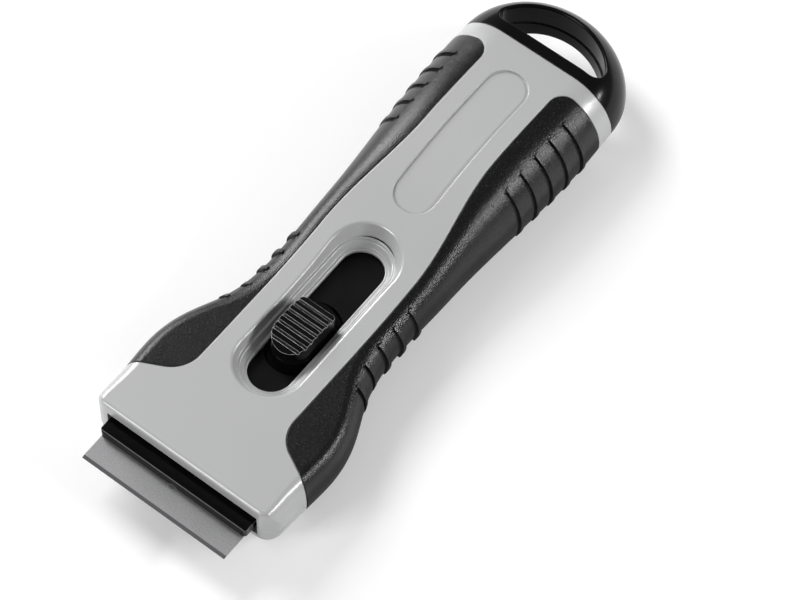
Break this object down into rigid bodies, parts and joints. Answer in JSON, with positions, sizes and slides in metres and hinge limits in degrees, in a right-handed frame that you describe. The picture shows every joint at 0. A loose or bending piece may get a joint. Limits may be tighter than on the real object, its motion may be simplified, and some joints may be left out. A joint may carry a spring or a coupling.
{
  "type": "ceramic hob scraper",
  "caption": "Retractable hob scraper: waisted two-shell handle with soft side grips, a slide-and-press thumb button that moves a clamped steel blade, and a hanging loop.",
  "frame": {"origin": "centre of the overall box on the flat back, where the scraper lies on a surface", "axes": "+Y from the blade towards the hanging loop, +Z from the flat back up through the thumb button, X across the blade"},
  "size_m": [0.0522, 0.1569, 0.021],
  "materials": {
    "silver_plastic": "satin silver-grey moulding with a very fine grain",
    "soft_grip": "near-black soft-touch skin with a leathery grain",
    "black_plastic": "gloss black moulding",
    "blade_steel": "fine rolled steel with a ground edge",
    "zinc_steel": "bright zinc-plated screws and spring wire"
  },
  "bodies": {
    "handle": {"top_shell": "silver_plastic", "bottom_shell": "silver_plastic", "right_grip": "soft_grip", "left_grip": "soft_grip", "hanging_loop": "black_plastic", "case_screws": "zinc_steel"},
    "slider": {"blade_carrier": "black_plastic", "blade": "blade_steel", "blade_clamp": "black_plastic", "button_spring": "zinc_steel"},
    "button": {"thumb_button": "black_plastic"}
  },
  "joints": [
    {"name": "slider_slide", "type": "slide", "parent": "handle", "child": "slider", "axis": [0, -1, 0], "range_m": [-0.016, 0.008]},
    {"name": "button_press", "type": "slide", "parent": "slider", "child": "button", "axis": [0, 0, -1], "range_m": [0, 0.0012], "stiffness_N_per_m": 1500, "springref_m": -0.001, "deforming": ["button_spring"]}
  ]
}
